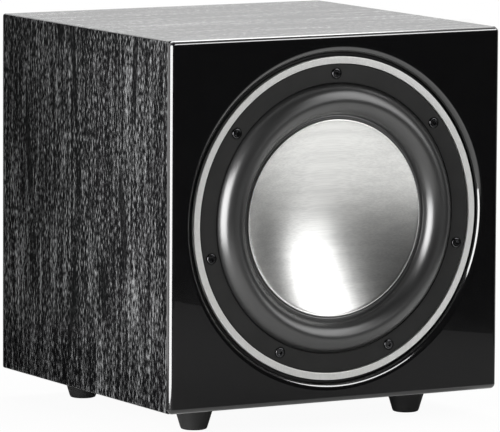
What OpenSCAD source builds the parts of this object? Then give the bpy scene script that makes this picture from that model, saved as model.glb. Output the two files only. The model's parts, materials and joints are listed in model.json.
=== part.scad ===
// Compact sealed active subwoofer: veneered case, gloss front, 10 inch driver, plate amplifier.
// The front faces -Y, the floor is z = 0, and the overall box is centred on x = 0 and y = 0.

/* [Case] */
// Width across the two side panels
cabinet_w = 300; // [290:1:400]
// Height of the case without its feet
cabinet_h = 292; // [290:1:400]
// Depth from the gloss front to the back panel
cabinet_d = 284; // [250:1:400]
// Thickness of the veneered panels
panel_t = 15; // [12:0.5:16]
// Rounding of the four long outer edges
arris_r = 2; // [0.5:0.1:3]
// Side of the square glue blocks in the inner corners
block_w = 16; // [12:1:20]
// Thickness of the damping pads
pad_t = 20; // [10:1:22]

/* [Front baffle] */
// Thickness of the gloss front panel
baffle_t = 6; // [5:0.5:8]
// Rounding of the gloss panel's outer edges
baffle_edge_r = 4; // [1:0.5:4]
// Rounding of the lip around the driver opening
lip_r = 6; // [3:0.5:7]
// Thickness of the structural baffle behind it
sub_baffle_t = 18; // [15:1:22]
// Gap between the driver's edge and the lip
opening_gap = 2.5; // [1:0.1:4]

/* [Feet] */
// Height of a foot
foot_h = 22; // [15:1:40]
// Radius where a foot meets the floor
foot_bottom_r = 9; // [8:0.5:14]
// Radius where a foot meets the case
foot_top_r = 17; // [15:0.5:24]
// Foot centre to the side of the case
foot_side_inset = 52; // [30:1:80]
// Foot centre to the gloss front
foot_front_inset = 55; // [40:1:80]
// Foot centre to the back of the case
foot_rear_inset = 42; // [30:1:80]

/* [Driver front] */
// Outer radius of the driver's trim ring
flange_r = 128.5; // [115:0.5:130]
// How far the trim ring sits behind the gloss front
ring_setback = 1.6; // [0.5:0.1:2.4]
// Width of the bright trim ring
trim_w = 5.7; // [3:0.1:8]
// Width of the black clamp ring
clamp_w = 14.8; // [13:0.1:18]
// Width of the rubber half roll
roll_w = 25.2; // [20:0.1:28]
// Wall of the rubber half roll
roll_t = 1.4; // [1:0.1:2.5]
// Visible width of the rubber lip inside the roll
inner_lip_w = 2.9; // [2:0.1:5]
// Depth of the concave aluminium dish
dish_depth = 18; // [8:0.5:24]
// Wall of the dish
dish_t = 1; // [0.6:0.1:2]
// Number of driver screws
screw_count = 7; // [4:1:10]
// Travel of the diaphragm each way
travel = 9; // [3:0.5:9]

/* [Driver motor] */
// Inner radius of the voice coil former
former_r = 25.4; // [19:0.1:30]
// Winding thickness
winding_t = 1.35; // [0.8:0.05:2]
// Winding length
winding_l = 26; // [16:1:30]
// Depth from the gloss front to the top plate
motor_depth = 78; // [74:1:90]
// Thickness of the top plate and of the yoke's disc
steel_t = 8; // [6:0.5:12]
// Outer radius of the two steel plates
steel_r = 62; // [56:1:68]
// Outer radius of the ferrite ring
magnet_r = 70; // [62:1:76]
// Thickness of the ferrite ring
magnet_t = 24; // [20:1:30]

/* [Amplifier] */
// Width of the amplifier plate
plate_w = 190; // [190:1:240]
// Height of the amplifier plate
plate_h = 230; // [230:1:250]
// Thickness of the amplifier plate
plate_t = 3; // [2:0.5:4]
// Height of the heat sink's fins from the plate
fin_h = 18; // [17:0.5:30]
// Number of fins
fin_count = 13; // [7:2:17]

/* [Controls] */
// Radius of the two knobs
knob_r = 9.5; // [7:0.5:12]
// Height of the two knobs
knob_h = 13; // [9:0.5:15]
// Radius of the control shafts
shaft_r = 3; // [2.5:0.1:3.1]
// Travel of the slide switches
switch_travel = 5.2; // [3:0.1:5.5]
// Tilt of the mains rocker to each side
rocker_tilt = 8; // [4:0.5:8]

/* [Sockets] */
// Outer radius of a line socket
line_socket_r = 4.15; // [4.1:0.05:4.2]
// How far a line socket stands out of the plate
line_socket_l = 9; // [7:0.5:12]
// Width of the mains inlet's recess
inlet_w = 24; // [23.5:0.1:24.4]
// Depth of the mains inlet's recess
inlet_depth = 16.4; // [15:0.1:18]
// How far the fuse drawer pulls out
drawer_travel = 17; // [10:1:19]

/* [Hidden] */
$fn = 96;
eps = 0.5;

// --- play left round fastened and turning parts
snug = 0.05;
easy = 0.2;
free = 0.35;

// --- stacking from the gloss front backwards; depths count from its face
seat_gap = 0.3;
ring_t = 3.4;
basket_flange_t = 3;
gasket_t = 1;
flange_front = ring_setback + ring_t;
flange_back = flange_front + basket_flange_t;
seat_depth = flange_back + gasket_t;
sub_baffle_back = baffle_t + sub_baffle_t;
rear_panel_t = 18;
rear_panel_front = cabinet_d - rear_panel_t;
amp_gasket_t = 1.5;
plate_face = cabinet_d + amp_gasket_t + plate_t;
overall_d = plate_face + fin_h;
roll_base = flange_front;
roll_sink = 1.5;
roll_outer_r = norm([roll_w / 2, roll_sink]);
roll_proud = roll_outer_r - roll_base - roll_sink;
front_y = (roll_proud - overall_d) / 2;

// --- the case
case_z0 = foot_h;
case_z1 = foot_h + cabinet_h;
case_mid_z = (case_z0 + case_z1) / 2;
inner_w = cabinet_w - 2 * panel_t;
inner_h = cabinet_h - 2 * panel_t;
opening_r = flange_r + opening_gap;
foot_x = cabinet_w / 2 - foot_side_inset;
foot_depths = [foot_front_inset, cabinet_d - foot_rear_inset];
foot_recess_r = 5;
foot_recess_h = 10;
foot_screw_r = 2;
foot_screw_bite = 11;
foot_flare = 1.9;
foot_head_t = 3;
pad_front = sub_baffle_back + 12;
pad_back = rear_panel_front - 30;
rear_screw_l = 15;

// --- the driver, radii from the outside in
driver_z = case_mid_z;
seam = 0.4;
clamp_r1 = flange_r - trim_w - seam;
clamp_r0 = clamp_r1 - clamp_w;
clamp_front = flange_front - 2.2;
clamp_edge = 0.4;
trim_edge_in = 0.6;
trim_edge_out = 0.8;
screw_pcd_r = (clamp_r0 + clamp_r1) / 2;
roll_r1 = clamp_r0 - 0.5;
roll_mid_r = roll_r1 - roll_w / 2;
roll_r0 = roll_r1 - roll_w;
outer_lip_w = 3;
outer_lip_t = 1;
dish_r = roll_r0 - inner_lip_w - seam;
dish_rim_w = 1.7;
dish_edge = flange_front - 1;
dish_front = dish_edge + 0.3;
lip_seat = dish_front + 1.4 * dish_t;
basket_r = flange_r - 0.2;
basket_skirt_w = 3;
basket_r0 = clamp_r0 - 2.3;
basket_skirt_back = sub_baffle_back - 2;
cutout_r = basket_r0 + basket_skirt_w + 0.7;
rebate_r = flange_r + 0.8;
driver_screw_r = 2.45;
screw_head_r = 3.7;
screw_head_h = 2;
screw_recess = 1.4;
screw_socket_r = 2;
screw_socket_t = 1.4;
insert_r = 4;
insert_bore_r = driver_screw_r + snug;
insert_l = 10;
rib_w = 12;
rib_foot_r = 66;
rib_toe_r = 46;
rib_r0 = basket_r0 + 1;
rib_r1 = basket_r0 + basket_skirt_w - 1;
rib_top_depth = basket_skirt_back - 1;
rib_toe_depth = motor_depth - 1;
rib_foot_r1 = rib_foot_r + 2;
motor_seat_r = rib_toe_r - 10;
motor_seat_t = 4;

// --- the motor
former_t = 0.5;
former_front = 42;
coil_gap = 0.8;
winding_front = motor_depth + steel_t / 2 - winding_l / 2;
pole_r = former_r - coil_gap;
plate_bore_r = former_r + former_t + winding_t + coil_gap;
magnet_bore_r = plate_bore_r + 5;
magnet_front = motor_depth + steel_t;
yoke_front = magnet_front + magnet_t;
yoke_back = yoke_front + steel_t;
vent_r = 10;
cone_neck = former_front + 4;
cone_wall = 1.8;
spider_depth = cone_neck + 9;
spider_t = 0.8;
spider_back = spider_depth + spider_t;
spider_wave = 1.6;
spider_folds = 6;
spider_r1 = 66;
spider_seat_r = 74;
spider_seat_t = 3;
terminal_boss_t = 12;
terminal_depth = 38;
terminal_along = (terminal_depth - rib_top_depth) / (rib_toe_depth - rib_top_depth);
terminal_r = rib_r1 + (rib_foot_r1 - rib_r1) * terminal_along + 1.6;
terminal_size = [26, 7, 14];
tab_x = 8.5;

// --- the amplifier plate; its frame looks at the back, x right, y up, z out
plate_z = case_mid_z;
rear_cut_w = 166;
rear_cut_h = 206;
plate_corner_r = 4;
plate_screw_inset = 6;
plate_screw_r = 1.9;
plate_screw_head_r = 3.8;
screw_x = plate_w / 2 - plate_screw_inset;
screw_y = plate_h / 2 - plate_screw_inset;
plate_screws = [
    for (x = [-screw_x, 0, screw_x], y = [-screw_y, screw_y]) [x, y],
    for (x = [-screw_x, screw_x], y = [-screw_y / 3, screw_y / 3]) [x, y]
];
sink_w = 150;
sink_h = 62;
sink_y = -8;
sink_base_t = 3;
fin_t = 2.2;
sink_margin = 6;
fin_pitch = (sink_w - 2 * sink_margin) / (fin_count - 1);
sink_screws = [
    for (x = [-1, 1], y = [-1, 1]) [x * (fin_count - 2) * fin_pitch / 2, sink_y + y * 23]
];
sink_screw_r = 1.9;
pan_head_h = 2.2;
board_t = 1.6;
control_gap = 9;
control_board_z = -plate_t - control_gap;
control_board_size = [160, 60];
control_board_y = 68;
level_at = [-62, 80];
crossover_at = [-20, 80];
phase_at = [24, 86];
power_mode_at = [60, 86];
light_at = [60, 58];
line_sockets = [[-70, 50], [-52, 50], [-24, 50], [-6, 50]];
inlet_at = [-58, -82];
mains_switch_at = [-14, -82];
transformer_at = [45, -64];
pot_r = 8;
bush_r = 3.6;
knob_gap = 1.5;
knob_roof = 3;
flutes = 12;
flute_r = 1.6;
shaft_foot = 1.8;
lever_w = 4;
lever_clear = 0.4;
lever_h = 2.8;
switch_size = [16, 9];
socket_washer_t = 1.5;
light_r = 2.5;
mount_play = 0.6;

// --- the mains inlet, its fuse drawer and the rocker switch
inlet_flange = [32, 39, 2.4];
inlet_body = [27.4, 34.4, 22];
inlet_recess_h = 15.5;
inlet_recess_y = 7.2;
inlet_chamfer = 4;
pin_w = 4;
pin_t = 2;
pin_setback = 5.4;
pin_tail = 28;
pins_at = [[-7, 4.2], [7, 4.2], [0, 10.4]];
drawer_size = [22, 7.6, 20];
drawer_y = -9.5;
drawer_gap = 0.2;
fuse_r = 2.5;
fuse_l = 20;
fuse_z = -11;
mains_bezel = [21, 30, 2];
mains_body = [18.8, 27.4, 18];
mains_cavity = [15, 24];
mains_cavity_depth = 8;
rocker_w = 14.6;
rocker_z = -2;
rocker_half = 11.2;
trunnion_r = 1.5;

// --- the inner electronics
power_board_size = [90, 80];
power_board_at = [-36, -12];
power_board_z = -20;
standoff_r = 3;
transformer_r = 36;
transformer_bore_r = 12;
transformer_h = 30;
transformer_pad = 1;
transformer_bolt_r = 3;
capacitor_r = 12.5;
capacitor_h = 35;
transistor_size = [16, 21, 5];

// Route of the speaker lead: x, depth behind the front, height, and half the spread of its two wires
lead_r = 1.3;
lead_floor = case_z0 + panel_t + 1.8;
lead_top = driver_z - terminal_r - terminal_size.y - 0.4;
lead_run = [106, cabinet_d - 89];
lead_end = plate_face + power_board_z - board_t - 0.3;
lead_route = [
    [0, terminal_depth + 20.4, lead_top, tab_x], [0, terminal_depth + 27, lead_top - 0.6, tab_x - 0.5],
    [0, terminal_depth + 40, lead_top - 7.6, 5], [2, 92, lead_floor + 6.2, 3],
    [4, lead_run.x, lead_floor + 0.7, 2],
    for (part = [0.25, 0.5, 0.75]) [4, lead_run.x + part * (lead_run.y - lead_run.x), lead_floor, 2],
    [5, lead_run.y, lead_floor + 2.2, 2], [8, cabinet_d - 72, case_mid_z - 116, 2],
    [12, cabinet_d - 58, case_mid_z - 96, 2], [16, cabinet_d - 44, case_mid_z - 70, 2],
    [19, cabinet_d - 34, case_mid_z - 50, 2.5], [20, lead_end - 7.6, case_mid_z - 41, 3],
    [20, lead_end, case_mid_z - 40, 3]
];
// Route of a tinsel lead from its tab to the cone: side offset, radius, depth
tinsel_r = 1;
tinsel_route = [
    [tab_x, terminal_r + terminal_size.y + 0.4, terminal_depth - 6.5],
    [tab_x, terminal_r + 4, terminal_depth - 10.5], [8.6, 90, 25], [8.8, 77, 29], [9, 66, 33],
    [9, 58, 32], [9, 53, 28.6]
];

// --- helpers

// A rectangle with round corners, built from squares and true circles
module rounded_rect(w, h, r) {
    square([w - 2 * r, h], center = true);
    square([w, h - 2 * r], center = true);
    for (x = [-1, 1], y = [-1, 1])
        translate([x * (w / 2 - r), y * (h / 2 - r)]) circle(r);
}

// Extrudes an outline drawn in x and z between two depths of the case
module across_depth(from, to)
    translate([0, front_y + to, 0]) rotate([90, 0, 0]) linear_extrude(to - from) children();

// Driver frame: z is depth behind the front, and -y is up
module driver_frame()
    translate([0, front_y, driver_z]) rotate([-90, 0, 0]) children();

// Plate frame: x right and y up as seen from behind, z out of the plate
module plate_frame()
    translate([0, front_y + plate_face, plate_z]) rotate([90, 0, 180]) children();

// A plain ring between two radii and two depths
module ring(r0, r1, from, to)
    rotate_extrude() translate([r0, from]) square([r1 - r0, to - from]);

// Repeats a child round the driver, the first one at the top
module around_driver(count, shift = 0)
    for (i = [0 : count - 1])
        rotate([0, 0, -90 + (i + shift) * 360 / count]) children();

module box(size, at = [0, 0, 0])
    translate([at.x - size.x / 2, at.y - size.y / 2, at.z]) cube(size);

// A round tube swept along a list of points, with a ring across each point's direction
module swept_tube(path, r, sides = 8) {
    count = len(path);
    heading = [
        for (i = [0 : count - 1])
            let (v = path[min(i + 1, count - 1)] - path[max(i - 1, 0)]) v / norm(v)
    ];
    across = [
        for (h = heading) let (side = cross(h, [0, 0, 1] + [0.3, 0.1, 0])) side / norm(side)
    ];
    points = [
        for (i = [0 : count - 1], k = [0 : sides - 1])
            let (a = k * 360 / sides, up = cross(across[i], heading[i]))
            path[i] + r * (cos(a) * across[i] + sin(a) * up)
    ];
    walls = [
        for (i = [0 : count - 2], k = [0 : sides - 1])
            let (n = (k + 1) % sides)
            [i * sides + k, i * sides + n, (i + 1) * sides + n, (i + 1) * sides + k]
    ];
    ends = [
        [for (k = [sides - 1 : -1 : 0]) k],
        [for (k = [0 : sides - 1]) (count - 1) * sides + k]
    ];
    polyhedron(points, concat(walls, ends));
}

// --- the case

module case_outline()
    translate([0, case_mid_z]) rounded_rect(cabinet_w, cabinet_h, arris_r);

// One mitred panel of the sleeve: x and z tell which side it closes
module sleeve_panel(x, z) {
    w = cabinet_w / 2;
    h = cabinet_h / 2;
    outline = x != 0
        ? [[x * w, -h], [x * w, h], [x * (w - panel_t), h - panel_t], [x * (w - panel_t), panel_t - h]]
        : [[-w, z * h], [w, z * h], [w - panel_t, z * (h - panel_t)], [panel_t - w, z * (h - panel_t)]];
    across_depth(baffle_t, cabinet_d) intersection() {
        case_outline();
        translate([0, case_mid_z]) polygon(outline);
    }
}

module left_panel() color("#2b2c2d") sleeve_panel(-1, 0);

module right_panel() color("#2b2c2d") sleeve_panel(1, 0);

module top_panel() color("#3a3b3c") sleeve_panel(0, 1);

module bottom_panel() color("#2b2c2d") difference() {
    sleeve_panel(0, -1);
    at_feet() cylinder(r = foot_screw_r + 0.1, h = foot_h + foot_screw_bite + 0.5);
}

// Back panel between the four sides, with the amplifier's cut-out
module rear_panel() color("#1b1b1c") difference() {
    across_depth(rear_panel_front, cabinet_d) translate([0, case_mid_z]) difference() {
        square([inner_w, inner_h], center = true);
        square([rear_cut_w, rear_cut_h], center = true);
    }
    plate_frame() for (p = plate_screws)
        translate([p.x, p.y, -plate_t - amp_gasket_t - rear_screw_l])
            cylinder(r = plate_screw_r + snug, h = rear_screw_l + plate_t + amp_gasket_t);
}

// Structural baffle that carries the driver in a rebate
module sub_baffle() color("#18181a") difference() {
    across_depth(baffle_t, sub_baffle_back)
        translate([0, case_mid_z]) square([inner_w, inner_h], center = true);
    driver_frame() {
        translate([0, 0, baffle_t - eps]) cylinder(r = cutout_r, h = sub_baffle_t + 2 * eps);
        translate([0, 0, baffle_t - eps]) cylinder(r = rebate_r, h = seat_depth - baffle_t + eps);
        around_driver(screw_count)
            translate([screw_pcd_r, 0, baffle_t]) cylinder(r = insert_r + snug, h = sub_baffle_t + eps);
    }
}

// Cross-section of the gloss panel, its two front edges rounded; wide is its size across the depth
module baffle_section(wide) {
    half_w = wide / 2;
    translate([-half_w, baffle_edge_r]) square([wide, baffle_t - baffle_edge_r]);
    translate([baffle_edge_r - half_w, 0]) square([wide - 2 * baffle_edge_r, baffle_t]);
    for (x = [-1, 1]) translate([x * (half_w - baffle_edge_r), baffle_edge_r]) circle(baffle_edge_r);
}

// Gloss front panel with round edges and a round lip to the driver opening
module front_baffle() color("#0c0c0d") difference() {
    intersection() {
        translate([0, front_y, case_z0]) linear_extrude(cabinet_h) baffle_section(cabinet_w);
        translate([-cabinet_w / 2, front_y, case_mid_z]) rotate([0, 90, 0])
            linear_extrude(cabinet_w) baffle_section(cabinet_h);
        across_depth(0, baffle_t) translate([0, case_mid_z])
            rounded_rect(cabinet_w, cabinet_h, arris_r);
    }
    driver_frame() {
        translate([0, 0, -eps]) cylinder(r = opening_r, h = baffle_t + 2 * eps);
        rotate_extrude() difference() {
            translate([opening_r - eps, -eps]) square([lip_r + eps, lip_r]);
            translate([opening_r + lip_r, lip_r * 0.99]) circle(lip_r);
        }
    }
}

module glue_blocks() color("#9c8560")
    across_depth(sub_baffle_back, rear_panel_front)
        for (x = [-1, 1], z = [-1, 1])
            translate([x * (inner_w - block_w) / 2, case_mid_z + z * (inner_h - block_w) / 2])
                square(block_w, center = true);

// Wadding on both sides and under the top
module damping_pads() color("#d8d8d4") {
    side_h = inner_h - 2 * block_w - 4;
    for (x = [-1, 1])
        across_depth(pad_front, pad_back)
            translate([x * (inner_w / 2 - seat_gap - pad_t / 2), case_mid_z])
                square([pad_t, side_h], center = true);
    across_depth(pad_front, pad_back)
        translate([0, case_z1 - panel_t - seat_gap - pad_t / 2])
            square([inner_w - 2 * block_w - 2 * pad_t, pad_t], center = true);
}

module at_feet()
    for (x = [-1, 1], depth = foot_depths)
        translate([x * foot_x, front_y + depth, 0]) children();

// Four tapered rubber feet, each with a screw recess
module feet() color("#1c1c1c") at_feet() rotate_extrude()
    polygon([
        [foot_recess_r, 0], [foot_bottom_r, 0], [foot_bottom_r + 1.2, 0.5],
        [foot_bottom_r + foot_flare, foot_flare], [foot_top_r, foot_h], [foot_screw_r + seat_gap, foot_h],
        [foot_screw_r + seat_gap, foot_recess_h], [foot_recess_r, foot_recess_h]
    ]);

module foot_screws() color("#8a8a8c") at_feet() {
    translate([0, 0, foot_recess_h]) cylinder(r = foot_screw_r, h = foot_h - foot_recess_h + foot_screw_bite);
    translate([0, 0, foot_recess_h - foot_head_t]) difference() {
        cylinder(r = foot_recess_r - 0.6, h = foot_head_t);
        translate([0, 0, -eps]) cylinder(r = 1.6, h = foot_head_t / 2 + eps, $fn = 6);
    }
}

// --- the driver

// Cast frame: flange, skirt, ribs, damper seat and motor seat
module driver_basket() color("#202021") driver_frame() difference() {
    union() {
        ring(basket_r0, basket_r, flange_front, flange_back);
        ring(basket_r0, basket_r0 + basket_skirt_w, flange_front, basket_skirt_back);
        ring(spider_r1 + 1, spider_seat_r + 3, spider_back, spider_back + spider_seat_t);
        ring(motor_seat_r, rib_foot_r, motor_depth - motor_seat_t, motor_depth);
        around_driver(screw_count, 0.5) rotate([90, 0, 0]) translate([0, 0, -rib_w / 2])
            linear_extrude(rib_w) polygon([
                [rib_r0, flange_back - 1], [rib_r1, flange_back - 1], [rib_r1, rib_top_depth],
                [rib_foot_r1, rib_toe_depth], [rib_toe_r, rib_toe_depth],
                [rib_toe_r, rib_toe_depth - 2], [rib_foot_r - 4, motor_depth - 9],
                [spider_seat_r + 0.5, spider_back + 0.5], [rib_r0, flange_back + 9]
            ]);
        translate([-terminal_size.x / 2, terminal_r - terminal_boss_t, terminal_depth])
            cube([terminal_size.x, terminal_boss_t, terminal_size.z]);
    }
    around_driver(screw_count)
        translate([screw_pcd_r, 0, 0]) cylinder(r = driver_screw_r + free, h = flange_back + eps);
}

module driver_gasket() color("#303030") driver_frame() difference() {
    ring(cutout_r + 1, basket_r, flange_back, seat_depth);
    around_driver(screw_count)
        translate([screw_pcd_r, 0, 0]) cylinder(r = driver_screw_r + free, h = seat_depth + eps);
}

// Black ring that clamps the roll's outer lip, with the screw recesses
module clamp_ring() color("#2c2c2c") driver_frame() difference() {
    rotate_extrude() polygon([
        [clamp_r0, clamp_front + clamp_edge], [clamp_r0 + clamp_edge, clamp_front],
        [clamp_r1 - clamp_edge, clamp_front], [clamp_r1, clamp_front + clamp_edge], [clamp_r1, flange_front],
        [roll_r1 + outer_lip_w + 0.1, flange_front],
        [roll_r1 + outer_lip_w + 0.1, flange_front - outer_lip_t],
        [clamp_r0, flange_front - outer_lip_t]
    ]);
    around_driver(screw_count) translate([screw_pcd_r, 0, 0]) {
        cylinder(r = driver_screw_r + free, h = flange_front + eps);
        translate([0, 0, clamp_front - eps]) cylinder(r = screw_head_r + 1, h = screw_recess + eps);
    }
}

module trim_ring() color("#d4d4d2") driver_frame() rotate_extrude() polygon([
    [flange_r - trim_w, flange_front], [flange_r - trim_w, ring_setback + trim_edge_in],
    [flange_r - trim_w + trim_edge_in, ring_setback], [flange_r - trim_edge_out, ring_setback],
    [flange_r, ring_setback + trim_edge_out], [flange_r, flange_front]
]);

module driver_screws() color("#4a4a4c") driver_frame() around_driver(screw_count)
    translate([screw_pcd_r, 0, clamp_front + screw_recess]) {
        cylinder(r = driver_screw_r, h = sub_baffle_back - clamp_front);
        translate([0, 0, -screw_head_h]) difference() {
            cylinder(r = screw_head_r, h = screw_head_h);
            translate([0, 0, -eps]) cylinder(r = screw_socket_r, h = screw_socket_t + eps, $fn = 6);
        }
    }

// Threaded inserts pressed into the structural baffle from behind
module driver_inserts() color("#b8a878") driver_frame() around_driver(screw_count)
    translate([screw_pcd_r, 0, 0]) {
        ring(insert_bore_r, insert_r, sub_baffle_back - insert_l, sub_baffle_back);
        ring(insert_bore_r, insert_r + 1.5, sub_baffle_back, sub_baffle_back + 1);
    }

// Rubber half roll with its two glued lips
module surround() color("#2a2a2a") driver_frame() rotate_extrude() {
    difference() {
        translate([roll_mid_r, roll_base + roll_sink]) circle(roll_outer_r);
        translate([roll_mid_r, roll_base + roll_sink]) circle(roll_outer_r - roll_t);
        translate([roll_mid_r - roll_w, roll_base]) square([2 * roll_w, roll_w]);
    }
    translate([roll_r1 - 1, flange_front - outer_lip_t]) square([outer_lip_w + 1, outer_lip_t]);
    translate([roll_r0 - inner_lip_w, lip_seat - 1.2]) square([inner_lip_w + 1.3, 1.2]);
}

// Structural cone from the roll down to the voice coil
module cone() color("#1e1e1e") driver_frame() rotate_extrude() {
    neck_r = former_r + former_t + snug;
    lip_r0 = dish_r - dish_rim_w;
    polygon([
        [roll_r0 + 1.1, lip_seat], [lip_r0, lip_seat], [neck_r, cone_neck],
        [neck_r, cone_neck + cone_wall], [lip_r0 + 1.5, lip_seat + 1.2],
        [roll_r0 + 1.1, lip_seat + 1.2]
    ]);
}

// Concave aluminium dish with a rolled rim
module dish() color("#c9cac8") driver_frame() rotate_extrude() {
    shell_r = dish_r - dish_rim_w;
    front_r = (shell_r * shell_r + dish_depth * dish_depth) / (2 * dish_depth);
    intersection() {
        translate([0, dish_front + dish_depth - front_r]) difference() {
            circle(front_r + dish_t, $fn = 360);
            circle(front_r, $fn = 360);
        }
        translate([0, dish_front]) square([shell_r + snug, dish_depth + dish_t + 1]);
    }
    polygon([
        [shell_r, lip_seat], [shell_r, dish_edge + 0.4], [shell_r + 0.4, dish_edge],
        [dish_r - 0.4, dish_edge], [dish_r, dish_edge + 0.4], [dish_r, lip_seat]
    ]);
}

module voice_coil_former() color("#b98d3e") driver_frame()
    ring(former_r, former_r + former_t, former_front, winding_front + winding_l + 1);

module voice_coil() color("#a8552a") driver_frame()
    ring(former_r + former_t, former_r + former_t + winding_t, winding_front, winding_front + winding_l);

// Corrugated cloth damper
module spider() color("#c8a35a") driver_frame() rotate_extrude() {
    r0 = former_r + former_t + snug;
    steps = 2 * spider_folds;
    wave = [for (i = [0 : steps]) [
        r0 + (spider_r1 - r0) * i / steps,
        spider_depth + (i == 0 || i == steps ? 0 : i % 2 == 0 ? -spider_wave : spider_wave)
    ]];
    outline = concat(wave, [[spider_seat_r, spider_depth]]);
    polygon(concat(
        outline,
        [for (i = [len(outline) - 1 : -1 : 0]) outline[i] + [0, spider_t]]
    ));
}

module top_plate() color("#77797b") driver_frame()
    ring(plate_bore_r, steel_r, motor_depth, magnet_front);

module magnet() color("#3b3b3d") driver_frame()
    ring(magnet_bore_r, magnet_r, magnet_front, yoke_front);

// Steel disc and centre pole in one piece, with a vent through it
module yoke() color("#77797b") driver_frame() rotate_extrude() polygon([
    [vent_r, motor_depth - 1], [pole_r, motor_depth - 1], [pole_r, yoke_front],
    [steel_r + 2, yoke_front], [steel_r + 2, yoke_back], [vent_r, yoke_back]
]);

module terminal_block() color("#5c4a2c") driver_frame()
    translate([-terminal_size.x / 2, terminal_r, terminal_depth]) cube(terminal_size);

module terminal_tabs() color("#b59a52") driver_frame()
    for (x = [-tab_x, tab_x])
        translate([x - 2.5, terminal_r + terminal_size.y, terminal_depth - 6]) cube([5, 0.8, 26]);

module tinsel_leads() color("#b87333") driver_frame()
    for (side = [-1, 1])
        swept_tube([for (p = tinsel_route) [side * p.x, p.y, p.z]], tinsel_r);

// --- the amplifier plate and what is fastened to it

module plate_outline() rounded_rect(plate_w, plate_h, plate_corner_r);

// Aluminium plate with all its holes
module amp_plate() color("#161617") plate_frame() translate([0, 0, -plate_t]) difference() {
    linear_extrude(plate_t) plate_outline();
    translate([0, 0, -eps]) linear_extrude(plate_t + 2 * eps) {
        for (p = plate_screws) translate(p) circle(plate_screw_r + easy);
        for (p = sink_screws) translate(p) circle(sink_screw_r + snug);
        for (p = [level_at, crossover_at]) translate(p) circle(bush_r + 0.1);
        for (p = line_sockets) translate(p) circle(line_socket_r - 0.15);
        for (p = [phase_at, power_mode_at]) translate(p)
            square([lever_w + switch_travel + 2 * lever_clear, lever_w + 2 * lever_clear], center = true);
        translate(light_at) circle(light_r + 0.1);
        translate(transformer_at) circle(transformer_bolt_r + 0.1);
        translate(inlet_at)
            square([inlet_body.x + mount_play, inlet_body.y + mount_play], center = true);
        translate(mains_switch_at)
            square([mains_body.x + mount_play, mains_body.y + mount_play], center = true);
    }
}

// Foam seal between the plate and the back panel
module amp_gasket() color("#2c2c2e") plate_frame() translate([0, 0, -plate_t - amp_gasket_t])
    linear_extrude(amp_gasket_t) difference() {
        plate_outline();
        square([rear_cut_w, rear_cut_h], center = true);
        for (p = plate_screws) translate(p) circle(plate_screw_r + easy);
    }

// A pan head screw through the plate, head on the outside at height z
module plate_screw(r, head_r, length, z) {
    translate([0, 0, z - length]) cylinder(r = r, h = length);
    translate([0, 0, z]) difference() {
        cylinder(r = head_r, h = pan_head_h);
        for (a = [0, 90]) rotate([0, 0, a])
            translate([-head_r * 0.6, -0.5, 1]) cube([head_r * 1.2, 1, pan_head_h]);
    }
}

module amp_screws() color("#101011") plate_frame()
    for (p = plate_screws) translate(p)
        plate_screw(plate_screw_r, plate_screw_head_r, plate_t + amp_gasket_t + rear_screw_l - 1, 0);

// Finned heat sink on the outside of the plate
module heat_sink() color("#1a1a1b") plate_frame() difference() {
    union() {
        box([sink_w, sink_h, sink_base_t], [0, sink_y, 0]);
        for (i = [0 : fin_count - 1])
            box([fin_t, sink_h, fin_h], [(i - (fin_count - 1) / 2) * fin_pitch, sink_y, 0]);
    }
    for (p = sink_screws)
        translate([p.x, p.y, -eps]) cylinder(r = sink_screw_r + snug, h = sink_base_t + 2 * eps);
}

module heat_sink_screws() color("#8f9092") plate_frame()
    for (p = sink_screws) translate(p) plate_screw(sink_screw_r, 3.2, sink_base_t + plate_t + 3, sink_base_t);

module control_board() color("#1f5c38") plate_frame()
    box([control_board_size.x, control_board_size.y, board_t],
        [0, control_board_y, control_board_z - board_t]);

// Bodies and bushes of the two controls, each with the blind bore its shaft turns in
module potentiometer_bodies() color("#9b9da0") plate_frame()
    for (p = [level_at, crossover_at]) translate([p.x, p.y, 0]) difference() {
        union() {
            translate([0, 0, control_board_z]) cylinder(r = pot_r, h = control_gap);
            translate([0, 0, -plate_t]) cylinder(r = bush_r, h = plate_t + 1);
        }
        translate([0, 0, control_board_z + 1.5]) cylinder(r = shaft_r + snug, h = control_gap + plate_t + 1);
    }

module control_shaft(at) plate_frame()
    translate([at.x, at.y, control_board_z + shaft_foot])
        cylinder(r = shaft_r, h = knob_gap + knob_h - knob_roof - control_board_z - shaft_foot);

// Fluted knob with a pointer groove
module control_knob(at) plate_frame() translate([at.x, at.y, knob_gap]) difference() {
    cylinder(r = knob_r, h = knob_h);
    translate([0, 0, -eps]) cylinder(r = shaft_r + 0.02, h = knob_h - knob_roof + easy + eps);
    for (i = [0 : flutes - 1]) rotate([0, 0, (i + 0.5) * 360 / flutes])
        translate([knob_r + 0.7, 0, 2.5]) cylinder(r = flute_r, h = knob_h);
    translate([-0.5, knob_r * 0.35, knob_h - 0.6]) cube([1, knob_r, 1]);
}

module level_shaft() color("#a9abad") control_shaft(level_at);

module level_knob() color("#1d1d1e") control_knob(level_at);

module crossover_shaft() color("#a9abad") control_shaft(crossover_at);

module crossover_knob() color("#1d1d1e") control_knob(crossover_at);

// Slide switch bodies, open to the plate where the lever's foot slides
module switch_bodies() color("#3c3e40") plate_frame()
    for (p = [phase_at, power_mode_at]) translate([p.x, p.y, 0]) difference() {
        box([switch_size.x, switch_size.y, control_gap], [0, 0, control_board_z]);
        box([lever_w + 3 + switch_travel + 0.4, lever_w + 2.4, 4], [0, 0, -plate_t - 3.4]);
    }

// Lever at the left end of its slot
module switch_lever(at) plate_frame() translate([at.x - switch_travel / 2, at.y, 0]) {
    box([lever_w + 3, lever_w + 2, 3], [0, 0, -plate_t - 3.2]);
    box([lever_w, lever_w, plate_t + lever_h + 0.5], [0, 0, -plate_t - 0.5]);
}

module phase_lever() color("#e4e4e0") switch_lever(phase_at);

module power_mode_lever() color("#e4e4e0") switch_lever(power_mode_at);

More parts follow.
